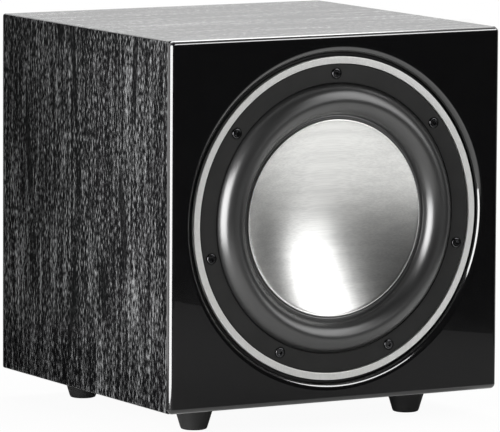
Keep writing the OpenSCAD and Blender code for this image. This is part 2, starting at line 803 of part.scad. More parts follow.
// Metal shells of the line sockets
module line_socket_shells() color("#c9a94e") plate_frame()
    for (p = line_sockets) translate([p.x, p.y, 0]) {
        ring(line_socket_r - 0.75, line_socket_r - 0.25, control_board_z, socket_washer_t);
        ring(line_socket_r - 0.75, line_socket_r, socket_washer_t, line_socket_l);
    }

module line_socket_insulators() color("#c03a34") plate_frame()
    for (p = line_sockets) translate([p.x, p.y, 0]) {
        ring(line_socket_r - 0.15, line_socket_r + 2.4, 0, socket_washer_t);
        ring(1.9, line_socket_r - 0.8, control_board_z + 1, line_socket_l - 2);
    }

module line_socket_contacts() color("#d8d0b0") plate_frame()
    for (p = line_sockets) translate([p.x, p.y, 0])
        ring(1.5, 1.85, control_board_z, line_socket_l - 2.5);

module inlet_outline() {
    w = inlet_w / 2;
    h = inlet_recess_h / 2;
    polygon([
        [-w, -h], [w, -h], [w, h - inlet_chamfer], [w - inlet_chamfer, h],
        [inlet_chamfer - w, h], [-w, h - inlet_chamfer]
    ]);
}

// Mains inlet with the recess for a plug and a pocket for the fuse drawer
module mains_inlet() color("#151516") plate_frame() translate([inlet_at.x, inlet_at.y, 0]) difference() {
    union() {
        box(inlet_flange);
        box(inlet_body, [0, 0, -inlet_body.z]);
    }
    translate([0, inlet_recess_y, inlet_flange.z - inlet_depth])
        linear_extrude(inlet_depth + eps) inlet_outline();
    box([drawer_size.x + 2 * drawer_gap, drawer_size.y + 2 * drawer_gap, drawer_size.z + inlet_flange.z],
        [0, drawer_y, -drawer_size.z + 1]);
    for (p = pins_at) box([pin_t, pin_w, pin_tail], [p.x, p.y, -pin_tail]);
}

module mains_pins() color("#d9d3c0") plate_frame() translate([inlet_at.x, inlet_at.y, 0])
    for (p = pins_at)
        box([pin_t, pin_w, pin_tail + inlet_flange.z - pin_setback], [p.x, p.y, -pin_tail]);

// Drawer with a pocket that holds the fuse across its width
module fuse_drawer() color("#232324") plate_frame() translate([inlet_at.x, inlet_at.y, 0]) difference() {
    union() {
        box([drawer_size.x, drawer_size.y, drawer_size.z - 1.2 + inlet_flange.z],
            [0, drawer_y, 1.2 - drawer_size.z]);
        box([drawer_size.x + 1.6, drawer_size.y + 1, 1.4], [0, drawer_y, inlet_flange.z]);
        box([8, 1.6, 3], [0, drawer_y + 3, inlet_flange.z]);
    }
    box([fuse_l + 0.6, drawer_size.y, 2 * fuse_r + 0.6], [0, drawer_y - 1.6, fuse_z - fuse_r - 0.3]);
}

module fuse() color("#dfe6e8") plate_frame() translate([inlet_at.x, inlet_at.y + drawer_y - 0.6, fuse_z])
    rotate([0, 90, 0]) {
        translate([0, 0, -fuse_l / 2]) cylinder(r = fuse_r - 0.2, h = fuse_l);
        for (z = [-fuse_l / 2, fuse_l / 2 - 5]) translate([0, 0, z]) cylinder(r = fuse_r, h = 5);
    }

module mains_switch_body() color("#141415") plate_frame()
    translate([mains_switch_at.x, mains_switch_at.y, 0]) difference() {
        union() {
            box(mains_bezel);
            box(mains_body, [0, 0, -mains_body.z]);
        }
        box([mains_cavity.x, mains_cavity.y, mains_cavity_depth + mains_bezel.z + eps],
            [0, 0, -mains_cavity_depth]);
        translate([-mains_body.x / 2 - eps, 0, rocker_z]) rotate([0, 90, 0])
            cylinder(r = trunnion_r + snug, h = mains_body.x + 2 * eps);
    }

// Rocker tilted to its off side, on two round trunnions
module mains_rocker() color("#0f0f10") plate_frame()
    translate([mains_switch_at.x, mains_switch_at.y, rocker_z]) rotate([-rocker_tilt, 0, 0]) {
        translate([-rocker_w / 2, 0, 0]) rotate([90, 0, 90]) linear_extrude(rocker_w) polygon([
            [-rocker_half, 4.8], [0, 2.6], [rocker_half, 4.8], [rocker_half, 0.5],
            [6, -4.5], [-6, -4.5], [-rocker_half, 0.5]
        ]);
        translate([-mains_body.x / 2 + 0.4, 0, 0]) rotate([0, 90, 0])
            cylinder(r = trunnion_r, h = mains_body.x - 0.8);
    }

module status_light() color("#79c7e8") plate_frame() translate([light_at.x, light_at.y, 0])
    rotate_extrude() polygon([
        [0, control_board_z], [light_r, control_board_z], [light_r, 0.8],
        [light_r * 0.8, 1.8], [light_r * 0.4, 2.3], [0, 2.4]
    ]);

module power_board() color("#1f5c38") plate_frame()
    box([power_board_size.x, power_board_size.y, board_t],
        [power_board_at.x, power_board_at.y, power_board_z - board_t]);

module board_standoffs() color("#c8b264") plate_frame()
    for (x = [-1, 1], y = [-1, 1])
        translate([
            power_board_at.x + x * (power_board_size.x / 2 - 4),
            power_board_at.y + y * (power_board_size.y / 2 - 4), power_board_z
        ]) cylinder(r = standoff_r, h = -power_board_z - plate_t, $fn = 6);

// Ring transformer on a thin pad
module transformer() color("#c8a020") plate_frame()
    translate([transformer_at.x, transformer_at.y, -plate_t - transformer_pad - transformer_h]) {
        rotate_extrude() translate([(transformer_r + transformer_bore_r) / 2, transformer_h / 2])
            rounded_rect(transformer_r - transformer_bore_r, transformer_h, 5);
        ring(transformer_bore_r + 4, transformer_r - 4, transformer_h, transformer_h + transformer_pad);
    }

module transformer_bolt() color("#9a9c9f") plate_frame() translate([transformer_at.x, transformer_at.y, 0]) {
    tail = plate_t + transformer_pad + transformer_h + 2;
    translate([0, 0, -tail - 6]) cylinder(r = transformer_bolt_r, h = tail + 6);
    cylinder(r = 5.5, h = 3.5, $fn = 6);
    translate([0, 0, -tail]) cylinder(r = 22, h = 2);
    translate([0, 0, -tail - 4]) cylinder(r = 5.5, h = 4, $fn = 6);
}

module capacitors() color("#23406e") plate_frame()
    for (y = [-14, 16])
        translate([power_board_at.x - 22, power_board_at.y + y, power_board_z - board_t - capacitor_h])
            cylinder(r = capacitor_r, h = capacitor_h);

// Output transistors clamped to the plate behind the heat sink, legs down to the board
module output_transistors() color("#1b1b1c") plate_frame()
    for (i = [0 : 3]) {
        at = power_board_at.x - 12 + i * (transistor_size.x + 1);
        top = sink_y + 24;
        box(transistor_size, [at, top - transistor_size.y / 2, -plate_t - transistor_size.z]);
        for (x = [-5, 0, 5]) {
            box([1.4, 6, 0.8], [at + x, top - transistor_size.y - 3, -plate_t - 3.2]);
            box([1.4, 0.8, -power_board_z - plate_t - 2.4],
                [at + x, top - transistor_size.y - 5.6, power_board_z]);
        }
    }

module speaker_lead() color("#b23a2e")
    for (side = [-1, 1])
        swept_tube([for (p = lead_route) [p[0] + side * p[3], front_y + p[1], p[2]]], lead_r);

left_panel();
right_panel();
top_panel();
bottom_panel();
rear_panel();
sub_baffle();
front_baffle();
glue_blocks();
damping_pads();
feet();
foot_screws();
driver_basket();
driver_gasket();
clamp_ring();
trim_ring();
driver_screws();
driver_inserts();
surround();
cone();
dish();
voice_coil_former();
voice_coil();
spider();
top_plate();
magnet();
yoke();
terminal_block();
terminal_tabs();
tinsel_leads();
amp_plate();
amp_gasket();
amp_screws();
heat_sink();
heat_sink_screws();
control_board();
potentiometer_bodies();
level_shaft();
level_knob();
crossover_shaft();
crossover_knob();
switch_bodies();
phase_lever();
power_mode_lever();
line_socket_shells();
line_socket_insulators();
line_socket_contacts();
mains_inlet();
mains_pins();
fuse_drawer();
fuse();
mains_switch_body();
mains_rocker();
status_light();
power_board();
board_standoffs();
transformer();
transformer_bolt();
capacitors();
output_transistors();
speaker_lead();
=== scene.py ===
import bpy
import bmesh
import json
import math
from mathutils import Matrix, Vector, noise
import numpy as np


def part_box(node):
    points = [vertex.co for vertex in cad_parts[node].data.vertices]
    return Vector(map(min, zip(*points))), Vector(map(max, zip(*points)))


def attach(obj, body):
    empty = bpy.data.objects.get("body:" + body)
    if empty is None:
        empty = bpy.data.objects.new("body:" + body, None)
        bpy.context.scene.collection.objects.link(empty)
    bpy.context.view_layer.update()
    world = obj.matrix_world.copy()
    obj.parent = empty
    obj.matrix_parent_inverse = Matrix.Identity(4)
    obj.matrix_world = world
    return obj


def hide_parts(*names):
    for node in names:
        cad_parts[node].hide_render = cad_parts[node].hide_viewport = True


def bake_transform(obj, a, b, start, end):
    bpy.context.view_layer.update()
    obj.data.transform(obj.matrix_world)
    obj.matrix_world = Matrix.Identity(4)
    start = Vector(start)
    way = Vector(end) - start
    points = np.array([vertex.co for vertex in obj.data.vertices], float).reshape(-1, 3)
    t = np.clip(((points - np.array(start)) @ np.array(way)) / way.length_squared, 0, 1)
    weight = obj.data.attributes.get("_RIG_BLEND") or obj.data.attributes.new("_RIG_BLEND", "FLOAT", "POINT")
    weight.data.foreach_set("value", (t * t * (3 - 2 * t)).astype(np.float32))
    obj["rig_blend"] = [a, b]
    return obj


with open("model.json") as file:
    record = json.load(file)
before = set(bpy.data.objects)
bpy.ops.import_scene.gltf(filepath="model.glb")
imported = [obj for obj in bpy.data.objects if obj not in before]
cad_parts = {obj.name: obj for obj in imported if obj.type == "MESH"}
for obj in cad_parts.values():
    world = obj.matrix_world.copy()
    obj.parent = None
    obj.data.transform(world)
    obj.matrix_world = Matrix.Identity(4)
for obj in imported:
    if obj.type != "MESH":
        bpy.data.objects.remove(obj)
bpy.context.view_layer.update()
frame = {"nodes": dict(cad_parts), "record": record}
nodes = frame["nodes"]
scene = bpy.context.scene
print("frame loaded:", len(nodes), "parts")


# finishes: small tools for writing node materials as sums

class Wire:
    # an output socket that takes part in sums
    def __init__(self, paint, socket):
        self.paint = paint
        self.socket = socket

    def maths(self, operation, first, second=None):
        values = {0: first} if second is None else {0: first, 1: second}
        return self.paint.node("ShaderNodeMath", {"operation": operation}, values)

    def __add__(self, other):
        return self.maths("ADD", self, other)

    def __sub__(self, other):
        return self.maths("SUBTRACT", self, other)

    def __rsub__(self, other):
        return self.maths("SUBTRACT", other, self)

    def __mul__(self, other):
        return self.maths("MULTIPLY", self, other)

    def __pow__(self, other):
        return self.maths("POWER", self, other)

    __radd__ = __add__
    __rmul__ = __mul__

    def sine(self):
        return self.maths("SINE", self)

    def band(self, low, high):
        # 0 below low, 1 above high, soft between
        return self.paint.ramp(self, low, high)


class Paint:
    # a material with one Principled shader, or a world; constants go straight on its sockets
    def __init__(self, name, constants=None, world=None):
        self.material = world or bpy.data.materials.new(name)
        self.material.use_nodes = True
        self.tree = self.material.node_tree
        self.shader = self.tree.nodes["Background" if world else "Principled BSDF"]
        for socket, value in (constants or {}).items():
            self.join(value, self.shader.inputs[socket])

    def join(self, value, socket):
        if isinstance(value, Wire):
            self.tree.links.new(value.socket, socket)
        elif isinstance(value, tuple) and socket.type == "RGBA" and len(value) == 3:
            socket.default_value = (*value, 1)
        else:
            socket.default_value = value

    def node(self, kind, settings=None, values=None, output=0):
        made = self.tree.nodes.new(kind)
        for name, value in (settings or {}).items():
            setattr(made, name, value)
        for name, value in (values or {}).items():
            self.join(value, made.inputs[name])
        return Wire(self, made.outputs[output])

    def place(self, scale=(1, 1, 1), shift=(0, 0, 0)):
        # position on the object, in metres, stretched and moved
        spot = self.node("ShaderNodeTexCoord", output="Object")
        return self.node("ShaderNodeMapping", None, {"Vector": spot, "Scale": scale, "Location": shift})

    def reach(self, axis, source="Object"):
        # how far along x, y or z a point lies
        spot = self.node("ShaderNodeTexCoord", output=source)
        return self.node("ShaderNodeSeparateXYZ", None, {"Vector": spot}, axis.upper())

    def ramp(self, value, start, end, low=0.0, high=1.0):
        # low at start, high at end, soft between
        return self.node("ShaderNodeMapRange", {"interpolation_type": "SMOOTHSTEP"}, {
            "Value": value, "From Min": start, "From Max": end, "To Min": low, "To Max": high})

    def ray(self, kind):
        # 1 where the ray is of this kind
        return self.node("ShaderNodeLightPath", output="Is " + kind + " Ray")

    def grain(self, scale, detail, rough=0.55, vector=None):
        return self.node("ShaderNodeTexNoise", None, {
            "Vector": vector or self.place(), "Scale": scale, "Detail": detail, "Roughness": rough})

    def mix(self, factor, first, second):
        # two colours, the second where factor is 1
        return self.node("ShaderNodeMix", {"data_type": "RGBA"},
                         {0: factor, 6: first, 7: second}, 2)

    def feed(self, **links):
        for name, value in links.items():
            self.join(value, self.shader.inputs[name.replace("_", " ")])
        return self

    def bump(self, height, distance, strength=1.0):
        normal = self.node("ShaderNodeBump", None,
                           {"Height": height, "Distance": distance, "Strength": strength})
        self.join(normal, self.shader.inputs["Normal"])
        return self


def stretched(across, long, along):
    # a scale for lines that run along one axis
    return tuple(long if axis == along else across for axis in "xyz")


def blackAsh(name, along, sheen, gloss):
    # open-pored ash veneer stained black under a satin lacquer; along is the grain's axis,
    # sheen how much of the lacquer lies over the pores, gloss how much the wood itself shines
    look = {
        "pore": (0.0020, 0.0020, 0.0022),
        "fleck": (0.150, 0.152, 0.154),
        "fleckSize": (780.0, 180.0),    # to the metre, across and along the grain
        "lineSize": (260.0, 13.0),
        "zoneSize": (30.0, 6.0),
        "ovalSize": (60.0, 8.0),
        "shares": (0.60, 0.29, 0.11),    # of flecks, lines and zones in the fibres
        "crown": (0.062, 330.0, 440.0),    # middle of the arched figure, its steepness, its lines
        "waver": 0.03,    # how far those lines wander, in metres
        "relief": 0.00022,
    }
    paint = Paint(name, {"Specular IOR Level": gloss, "Coat Roughness": 0.14})

    def streaks(size, shift, detail, rough):
        return paint.grain(1.0, detail, rough, paint.place(stretched(*size, along), shift=(shift,) * 3))

    fleck = streaks(look["fleckSize"], 0.0, 2.0, 0.6)
    lines = streaks(look["lineSize"], 3.0, 2.0, 0.6)
    zones = streaks(look["zoneSize"], 7.0, 2.0, 0.5)
    ovals = streaks(look["ovalSize"], 11.0, 0.0, 0.5)
    fleckShare, lineShare, zoneShare = look["shares"]
    fibre = (fleck * fleckShare + lines * lineShare + zones * zoneShare).band(0.45, 0.65)
    middle, steep, rings = look["crown"]
    off = paint.reach("y") - middle
    square = off * off
    arch = (paint.reach(along) + square * steep + (zones - 0.5) * look["waver"]) * rings
    inside = 1.0 - square.band(0.0006, 0.0022)
    bare = 1.0 - ovals.band(0.70, 0.735) * 0.85 - arch.sine().band(0.35, 1.0) * inside * 0.45
    light = fibre ** 2.0 * bare    # pores stay dark, only the raised fibres catch light
    colour = paint.mix(light, look["pore"], look["fleck"])
    paint.feed(Base_Color=colour, Roughness=0.60 - light * 0.2, Coat_Weight=sheen + light * (1 - sheen))
    return paint.bump(fibre * bare, look["relief"], 0.5).material


def glossLacquer(name):
    # polished black lacquer, with the faint waviness of a buffed coat
    paint = Paint(name, {"Specular IOR Level": 0.5, "Coat Weight": 1.0, "Coat Roughness": 0.015})
    wave = paint.grain(9.0, 1.0)
    haze = paint.grain(60.0, 3.0)
    paint.feed(Base_Color=paint.mix(haze, (0.0012, 0.0012, 0.0013), (0.0024, 0.0024, 0.0026)),
               Roughness=0.10 + haze * 0.05)
    return paint.bump(wave, 0.0002, 0.06).material


def brushedMetal(name, look):
    # fine lines along one axis; colour, grain and roughness vary with them
    paint = Paint(name, {"Metallic": look.get("metallic", 1.0),
                         "Anisotropic": look.get("stretch", 0.0), "Anisotropic Rotation": 0.25})
    fine, long, along = look["fine"], look["long"], look["along"]
    lines = paint.grain(1.0, 3.0, 0.6, paint.place(stretched(fine, long, along)))
    broad = paint.grain(1.0, 2.0, 0.5, paint.place(stretched(fine * 0.12, long * 0.4, along)))
    cloud = paint.grain(25.0, 2.0)
    shade = lines * 0.6 + broad * 0.4
    paint.feed(Base_Color=paint.mix(shade.band(0.3, 0.7), look["dark"], look["light"]),
               Roughness=look["rough"] + (lines - 0.5) * look["swing"] + (cloud - 0.5) * 0.05)
    return paint.bump(lines * 0.7 + broad * 0.3, look["depth"], 0.5).material


def turnedMetal(name, look):
    # plated or zinc-coated steel, copper and brass: soft mottling, faint marks
    paint = Paint(name, {"Metallic": 1.0})
    cloud = paint.grain(look.get("cloud", 120.0), 4.0)
    marks = paint.grain(1.0, 3.0, 0.6, paint.place((900, 900, 900)))
    paint.feed(Base_Color=paint.mix(cloud.band(0.3, 0.7), look["dark"], look["light"]),
               Roughness=look["rough"] + (marks - 0.5) * 0.16)
    return paint.bump(marks, 0.00004, 0.4).material


def moulded(name, look):
    # plastic, rubber or paint with a fine skin
    paint = Paint(name, {"Specular IOR Level": look.get("specular", 0.5),
                         "Coat Weight": look.get("coat", 0.0), "Coat Roughness": 0.08})
    skin = paint.grain(look["skin"], 3.0, 0.6)
    dust = paint.grain(look.get("dust", 40.0), 4.0)
    paint.feed(Base_Color=paint.mix(dust.band(0.25, 0.75), look["dark"], look["light"]),
               Roughness=look["rough"] + (skin - 0.5) * look.get("swing", 0.15))
    return paint.bump(skin, look["depth"], look.get("strength", 0.4)).material


def woven(name, look):
    # cloth woven from two sets of yarns
    paint = Paint(name, {"Sheen Weight": 0.3, "Sheen Roughness": 0.5})
    yarn = look["yarns"] * 2 * math.pi
    weave = ((paint.reach("x") * yarn).sine() * (paint.reach("z") * yarn).sine()) * 0.5 + 0.5
    wear = paint.grain(180.0, 3.0)
    paint.feed(Base_Color=paint.mix(weave * 0.6 + wear * 0.4, look["dark"], look["light"]),
               Roughness=0.75 + wear * 0.15)
    return paint.bump(weave, 0.0002, 0.5).material


def rawWood(name):
    paint = Paint(name)
    rings = paint.grain(1.0, 3.0, 0.6, paint.place((160, 12, 160)))
    fibres = paint.grain(1.0, 4.0, 0.6, paint.place((900, 40, 900)))
    colour = paint.mix(rings.band(0.35, 0.65), (0.52, 0.36, 0.19), (0.36, 0.22, 0.10))
    paint.feed(Base_Color=paint.mix(fibres * 0.5, colour, (0.60, 0.45, 0.27)),
               Roughness=0.72 + fibres * 0.1)
    return paint.bump(fibres, 0.0001, 0.4).material


def circuitBoard(name):
    # solder mask over tracks that run square to each other
    paint = Paint(name, {"Coat Weight": 0.4, "Coat Roughness": 0.2})
    lanes = paint.grain(1.0, 0.0, 0.5, paint.place((420, 1, 60)))
    rungs = paint.grain(1.0, 0.0, 0.5, paint.place((60, 1, 420)))
    tracks = lanes.band(0.55, 0.57) * (1 - rungs.band(0.52, 0.54)) + rungs.band(0.60, 0.62)
    dirt = paint.grain(80.0, 3.0)
    colour = paint.mix(tracks.band(0.2, 0.8), (0.012, 0.085, 0.035), (0.03, 0.19, 0.075))
    paint.feed(Base_Color=paint.mix(dirt * 0.25, colour, (0.02, 0.05, 0.03)),
               Roughness=0.42 + dirt * 0.12)
    return paint.bump(tracks, 0.00005, 0.4).material


def wound(name, look):
    # turns of wire or tape laid side by side; the colour is lighter on each turn's crest and darker in the
    # grooves between turns, which is painted shade
    paint = Paint(name, {"Metallic": look["metallic"]})
    turns = (paint.reach("y") * (2 * math.pi / look["pitch"])).sine() * 0.5 + 0.5
    cloud = paint.grain(90.0, 3.0)
    # painted shade: the colour follows the relief of the turns, dark in the grooves and light on the crests
    colour = paint.mix(turns, look["dark"], look["light"])
    paint.feed(Base_Color=paint.mix(cloud * 0.35, colour, look["dark"]),
               Roughness=look["rough"] + cloud * 0.12)
    return paint.bump(turns, look["pitch"] / 6, 0.5).material


def wadding(name):
    # loose white fibres
    paint = Paint(name, {"Sheen Weight": 0.5, "Sheen Roughness": 0.6})
    fibres = paint.grain(420.0, 6.0, 0.75)
    tufts = paint.grain(45.0, 3.0)
    paint.feed(Base_Color=paint.mix(fibres * 0.6 + tufts * 0.4, (0.46, 0.46, 0.44), (0.86, 0.86, 0.84)),
               Roughness=0.85 + fibres * 0.12)
    return paint.bump(fibres * 0.6 + tufts * 0.4, 0.0012, 0.7).material


def clearGlass(name):
    paint = Paint(name, {"Transmission Weight": 0.85, "IOR": 1.5})
    smear = paint.grain(200.0, 3.0)
    paint.feed(Base_Color=paint.mix(smear, (0.80, 0.88, 0.90), (0.95, 0.98, 0.98)),
               Roughness=0.05 + smear * 0.08)
    return paint.material


def socketPlastic(name):
    # ivory on the left of each pair of line sockets, red on the right, as seen from behind
    paint = Paint(name)
    pair = {"ivory": 0.024, "apart": 0.046}
    start = pair["ivory"] - pair["apart"] / 4
    left = ((paint.reach("x") - start) * (2 * math.pi / pair["apart"])).sine().band(0.1, 0.2)
    skin = paint.grain(1500.0, 3.0)
    dust = paint.grain(200.0, 3.0)
    red = paint.mix(dust, (0.34, 0.020, 0.015), (0.48, 0.035, 0.025))
    ivory = paint.mix(dust, (0.60, 0.58, 0.52), (0.72, 0.70, 0.64))
    paint.feed(Base_Color=paint.mix(left, red, ivory), Roughness=0.34 + skin * 0.1)
    return paint.bump(skin, 0.00003, 0.4).material


def tintedLens(name):
    paint = Paint(name, {"Specular IOR Level": 0.6, "Coat Weight": 0.6, "Coat Roughness": 0.05})
    core = paint.grain(300.0, 2.0)
    paint.feed(Base_Color=paint.mix(core, (0.10, 0.36, 0.62), (0.22, 0.55, 0.82)),
               Roughness=0.2 + core * 0.1)
    return paint.bump(core, 0.00003, 0.3).material


# colours are linear; skin, cloud and dust count bumps to the metre
plain = {
    "mdf_black": {"dark": (0.006, 0.006, 0.0065), "light": (0.012, 0.012, 0.0125), "rough": 0.68,
                  "skin": 900.0, "depth": 0.00008, "dust": 30.0, "specular": 0.28},
    "foot_rubber": {"dark": (0.007, 0.007, 0.007), "light": (0.014, 0.014, 0.014), "rough": 0.55,
                    "skin": 1600.0, "depth": 0.00005},
    "cast_black": {"dark": (0.012, 0.012, 0.012), "light": (0.022, 0.022, 0.022), "rough": 0.45,
                   "skin": 1300.0, "depth": 0.00008},
    "foam_black": {"dark": (0.012, 0.012, 0.012), "light": (0.030, 0.030, 0.031), "rough": 0.85,
                   "skin": 2200.0, "depth": 0.00025, "strength": 0.8},
    "clamp_black": {"dark": (0.006, 0.006, 0.0058), "light": (0.009, 0.009, 0.0088), "rough": 0.48,
                    "skin": 2200.0, "depth": 0.00003, "dust": 60.0, "specular": 0.28},
    "surround_rubber": {"dark": (0.009, 0.009, 0.0091), "light": (0.013, 0.013, 0.0131), "rough": 0.29,
                        "skin": 2600.0, "depth": 0.00002, "swing": 0.08, "dust": 22.0, "specular": 1.0},
    "cone_black": {"dark": (0.010, 0.010, 0.010), "light": (0.022, 0.022, 0.022), "rough": 0.7,
                   "skin": 700.0, "depth": 0.0001},
    "former_film": {"dark": (0.34, 0.19, 0.05), "light": (0.50, 0.30, 0.09), "rough": 0.3,
                    "skin": 500.0, "depth": 0.00002},
    "ferrite": {"dark": (0.022, 0.022, 0.024), "light": (0.065, 0.066, 0.070), "rough": 0.55,
                "skin": 1400.0, "depth": 0.00008, "dust": 70.0},
    "fibre_board": {"dark": (0.15, 0.085, 0.035), "light": (0.24, 0.14, 0.065), "rough": 0.55,
                    "skin": 1200.0, "depth": 0.00006, "dust": 300.0},
    "plate_black": {"dark": (0.012, 0.012, 0.0125), "light": (0.021, 0.021, 0.0215), "rough": 0.48,
                    "skin": 1500.0, "depth": 0.00014, "strength": 0.7},
    "knob_black": {"dark": (0.010, 0.010, 0.010), "light": (0.018, 0.018, 0.018), "rough": 0.36,
                   "skin": 2500.0, "depth": 0.00003},
    "moulded_black": {"dark": (0.009, 0.009, 0.0095), "light": (0.017, 0.017, 0.0175), "rough": 0.45,
                      "skin": 1700.0, "depth": 0.00006},
    "lever_white": {"dark": (0.58, 0.58, 0.55), "light": (0.72, 0.72, 0.69), "rough": 0.42,
                    "skin": 1500.0, "depth": 0.00004, "dust": 150.0},
    "rocker_black": {"dark": (0.006, 0.006, 0.0065), "light": (0.012, 0.012, 0.0125), "rough": 0.2,
                     "skin": 900.0, "depth": 0.00002, "coat": 0.4},
    "capacitor_blue": {"dark": (0.010, 0.024, 0.090), "light": (0.022, 0.050, 0.17), "rough": 0.25,
                       "skin": 500.0, "depth": 0.00004, "coat": 0.4},
    "package_black": {"dark": (0.010, 0.010, 0.010), "light": (0.022, 0.022, 0.022), "rough": 0.5,
                      "skin": 1500.0, "depth": 0.00005},
    "lead_red": {"dark": (0.26, 0.020, 0.014), "light": (0.42, 0.040, 0.026), "rough": 0.45,
                 "skin": 900.0, "depth": 0.00004, "dust": 120.0},
}
plated = {
    "screw_black": {"dark": (0.10, 0.10, 0.105), "light": (0.16, 0.16, 0.165), "rough": 0.13,
                    "cloud": 300.0},
    "zinc_steel": {"dark": (0.40, 0.41, 0.42), "light": (0.60, 0.61, 0.60), "rough": 0.32},
    "brass": {"dark": (0.52, 0.36, 0.14), "light": (0.74, 0.56, 0.27), "rough": 0.28},
    "soft_iron": {"dark": (0.30, 0.31, 0.31), "light": (0.46, 0.46, 0.44), "rough": 0.36},
    "socket_gold": {"dark": (0.66, 0.46, 0.17), "light": (0.86, 0.66, 0.30), "rough": 0.18},
    "pin_nickel": {"dark": (0.56, 0.54, 0.50), "light": (0.72, 0.70, 0.66), "rough": 0.2},
}
brushed = {
    "dish_aluminium": {"dark": (0.68, 0.68, 0.67), "light": (0.85, 0.85, 0.835), "rough": 0.34,
                       "swing": 0.05, "fine": 1400.0, "long": 9.0, "along": "x", "depth": 0.00006,
                       "stretch": 0.6},
    "satin_aluminium": {"dark": (0.78, 0.78, 0.765), "light": (0.88, 0.88, 0.865), "rough": 0.36,
                        "swing": 0.06, "fine": 1800.0, "long": 1800.0, "along": "x", "depth": 0.00002,
                        "metallic": 0.50},
    "sink_black": {"dark": (0.016, 0.016, 0.017), "light": (0.034, 0.034, 0.036), "rough": 0.36,
                   "swing": 0.12, "fine": 2200.0, "long": 40.0, "along": "z", "depth": 0.00005,
                   "metallic": 0.6},
}

finishes = {
    "gloss_lacquer": glossLacquer("glossLacquer"),
    "glue_block_wood": rawWood("softwood"),
    "board_green": circuitBoard("circuitBoard"),
    "wadding": wadding("wadding"),
    "fuse_glass": clearGlass("fuseGlass"),
    "light_blue": tintedLens("blueLens"),
    "insulator_red": socketPlastic("socketPlastic"),
    "damper_cloth": woven("damperCloth", {"dark": (0.40, 0.24, 0.07), "light": (0.66, 0.45, 0.18),
                                          "yarns": 900.0}),
    "winding_yellow": wound("tapedWinding", {"dark": (0.42, 0.24, 0.02), "light": (0.66, 0.42, 0.05),
                                             "pitch": 0.004, "rough": 0.4, "metallic": 0.0}),
    "copper_wire": wound("enamelledWire", {"dark": (0.40, 0.14, 0.05), "light": (0.70, 0.32, 0.16),
                                           "pitch": 0.0007, "rough": 0.3, "metallic": 1.0}),
}
for name, look in plain.items():
    finishes[name] = moulded(name, look)
for name, look in plated.items():
    finishes[name] = turnedMetal(name, look)
for name, look in brushed.items():
    finishes[name] = brushedMetal(name, look)
sideVeneer = blackAsh("sideVeneer", "z", 0.05, 0.0)
topVeneer = blackAsh("topVeneer", "x", 0.48, 0.5)
veneers = {"left_panel": sideVeneer, "right_panel": sideVeneer,
           "top_panel": topVeneer, "bottom_panel": topVeneer}

slotOf = {part["node"]: part["material_slot"] for part in frame["record"]["subparts"]}
for name, part in nodes.items():
    finish = veneers.get(name) or finishes[slotOf[name]]
    for place in part.material_slots:
        place.material = finish
print("finishes made:", len(bpy.data.materials))


# shapes: places come from the frame, depths count from the gloss front

frontLow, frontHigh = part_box("front_baffle")
trimLow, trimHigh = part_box("trim_ring")
mm = 0.001
weldGap = 2e-6    # points closer than this are one
hair = 1e-5    # levels closer than this are the same
panelThick = 6.0
frontY = frontHigh.y - panelThick * mm
axis = Vector(((trimLow.x + trimHigh.x) / 2, frontY, (trimLow.z + trimHigh.z) / 2))


class Outline:
    # half of a round piece's section: radius and depth in millimetres
    def __init__(self, *places):
        self.mesh = bmesh.new()
        self.first = self.last = self.vertex(places[0])
        self.line(*places[1:])

    def spot(self, place):
        return axis + Vector((place[0] * mm, place[1] * mm, 0))

    def vertex(self, place):
        return self.mesh.verts.new(self.spot(place))

    def line(self, *places):
        for place in places:
            fresh = self.vertex(place)
            self.mesh.edges.new((self.last, fresh))
            self.last = fresh
        return self

    def arc(self, centre, degrees, steps):
        # goes on from the last place, round a centre
        swept = bmesh.ops.spin(self.mesh, geom=[self.last], cent=self.spot(centre), axis=(0, 0, 1),
                               angle=math.radians(degrees), steps=steps)
        self.last = [v for v in swept["geom_last"] if isinstance(v, bmesh.types.BMVert)][0]
        return self

    def turned(self, steps, closed=True):
        if closed:
            self.mesh.edges.new((self.last, self.first))
        bmesh.ops.spin(self.mesh, geom=self.mesh.verts[:] + self.mesh.edges[:], cent=axis, axis=(0, 1, 0),
                       angle=2 * math.pi, steps=steps, use_merge=True)
        bmesh.ops.remove_doubles(self.mesh, verts=self.mesh.verts, dist=weldGap)
        return self.mesh


def asPiece(mesh, name, body, replaced, slotName, smooth=40, weighted=False):
    # bmesh to a finished object that rides with its body
    bmesh.ops.remove_doubles(mesh, verts=mesh.verts, dist=weldGap)
    bmesh.ops.recalc_face_normals(mesh, faces=mesh.faces)
    data = bpy.data.meshes.new(name)
    mesh.to_mesh(data)
    mesh.free()
    piece = bpy.data.objects.new(name, data)
    scene.collection.objects.link(piece)
    data.materials.append(finishes[slotName])
    data.shade_smooth()
    data.set_sharp_from_angle(angle=math.radians(smooth))
    if weighted:
        flat = piece.modifiers.new("flatFaces", "WEIGHTED_NORMAL")
        flat.keep_sharp = True
    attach(piece, body)
    if replaced:
        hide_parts(replaced)
    return piece


def same(a, b):
    return abs(a - b) < hair


def edgesAt(mesh, way, level):
    # edges in a plane that is square to x, y or z (0, 1 or 2)
    return [e for e in mesh.edges if all(same(v.co[way], level) for v in e.verts)]


def softened(piece):
    # one step of subdivision
    rounding = piece.modifiers.new("round", "SUBSURF")
    rounding.levels = rounding.render_levels = 1
    return piece


def rounded(mesh, edges, radius, segments):
    bmesh.ops.bevel(mesh, geom=edges, offset=radius * mm, offset_type="OFFSET", segments=segments,
                    profile=0.5, affect="EDGES", material=-1, clamp_overlap=True)


